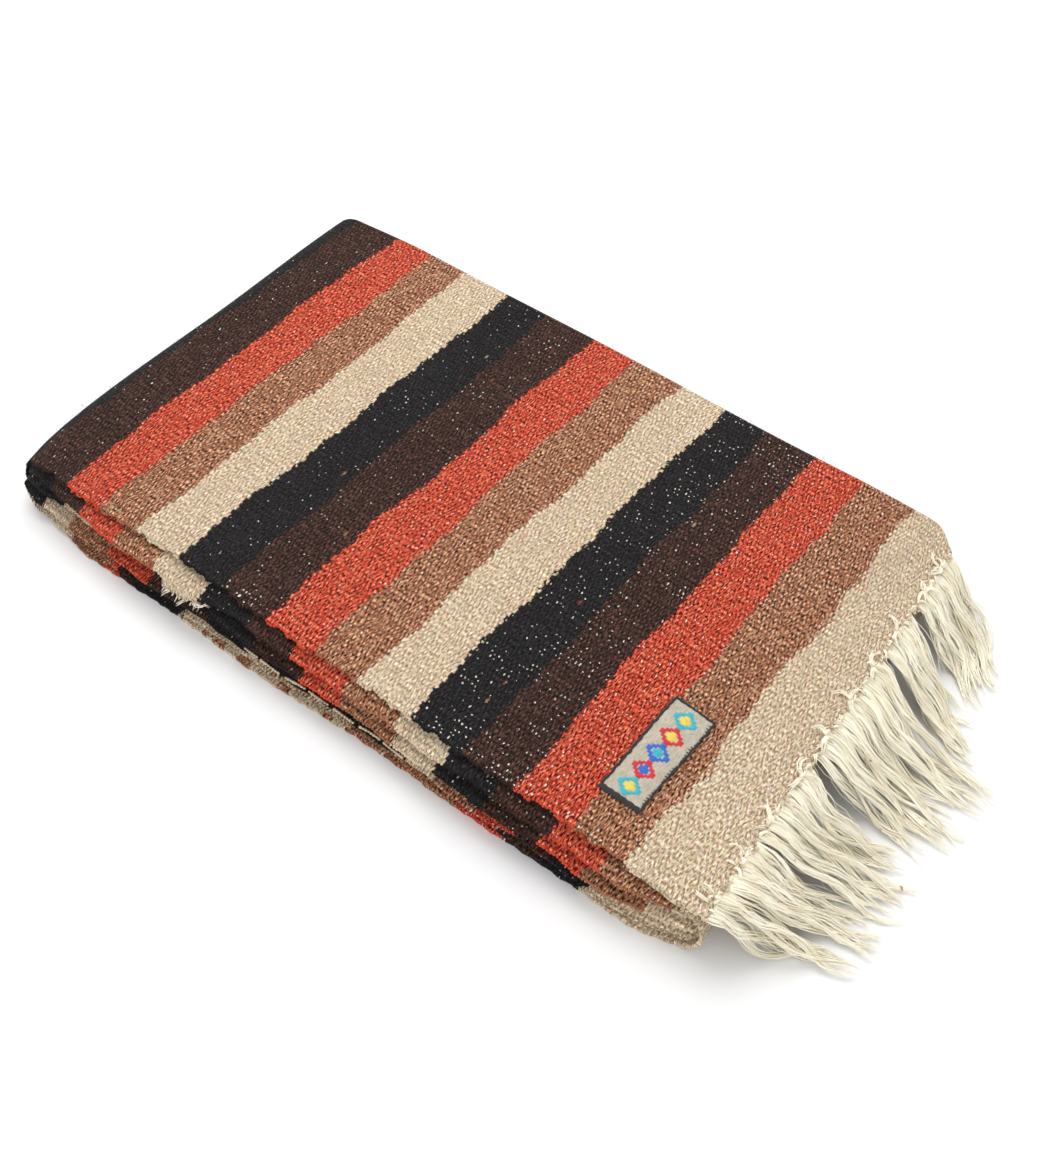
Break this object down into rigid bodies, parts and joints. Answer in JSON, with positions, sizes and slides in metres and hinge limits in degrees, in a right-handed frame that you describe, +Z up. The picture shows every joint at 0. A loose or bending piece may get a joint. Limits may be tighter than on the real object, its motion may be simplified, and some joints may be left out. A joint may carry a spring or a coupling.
{
  "type": "folded striped blanket",
  "caption": "Handwoven striped wool and cotton blanket, folded in thirds both ways, with knotted fringe and a sewn-on woven label.",
  "frame": {"origin": "middle of the folded stack's flat underside, on the surface it rests on", "axes": "+X along the folded length towards the fringe, +Y towards the long folded far side, +Z up"},
  "size_m": [0.8256, 0.4545, 0.0557],
  "materials": {
    "woven_stripes": "coarse plain weave in five stripe colours: black, dark brown, red, tan and cream",
    "warp_ends": "soft off-white cotton yarn",
    "label_ribbon": "fine woven ribbon",
    "label_binding": "close overlocked thread"
  },
  "bodies": {
    "root": {"outer_cloth": "woven_stripes", "folded_layers": "woven_stripes", "fringe": "warp_ends", "inner_end": "warp_ends", "label_face": "label_ribbon", "label_border": "label_binding"}
  },
  "joints": []
}
